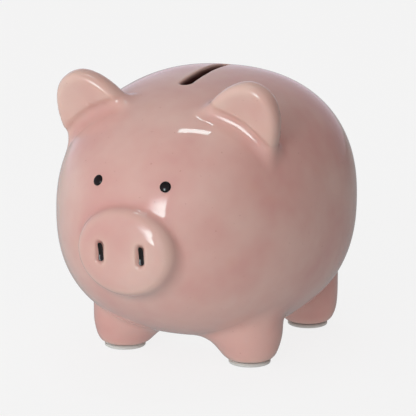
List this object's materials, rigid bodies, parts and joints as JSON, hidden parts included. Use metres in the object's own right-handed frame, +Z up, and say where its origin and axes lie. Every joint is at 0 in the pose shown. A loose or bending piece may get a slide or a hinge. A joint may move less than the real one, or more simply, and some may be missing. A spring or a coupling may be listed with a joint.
{
  "type": "pig coin bank",
  "caption": "Hollow glazed ceramic pig with a coin slot in its back, a pull-out rubber stopper in its belly, and a pad under each foot.",
  "frame": {"origin": "middle of the whole part's box, on the plane that the four feet stand on", "axes": "+Z up; the pig looks along -Y, so its tail is on the +Y side; +X is to the pig's left"},
  "size_m": [0.0994, 0.1218, 0.1011],
  "materials": {
    "pink_glaze": "glossy pink glaze over white earthenware",
    "black_glaze": "glossy black overglaze",
    "pad_rubber": "pale grey, satin",
    "stopper_rubber": "off-white, satin"
  },
  "bodies": {
    "bank": {"ceramic_body": "pink_glaze", "foot_pad_front_left": "pad_rubber", "foot_pad_front_right": "pad_rubber", "foot_pad_rear_left": "pad_rubber", "foot_pad_rear_right": "pad_rubber", "eye_left": "black_glaze", "eye_right": "black_glaze", "nostril_left": "black_glaze", "nostril_right": "black_glaze"},
    "plug": {"stopper": "stopper_rubber"}
  },
  "joints": [
    {"name": "stopper_pull", "type": "slide", "parent": "bank", "child": "plug", "axis": [0, 0, -1], "range_m": [0, 0.007]}
  ]
}
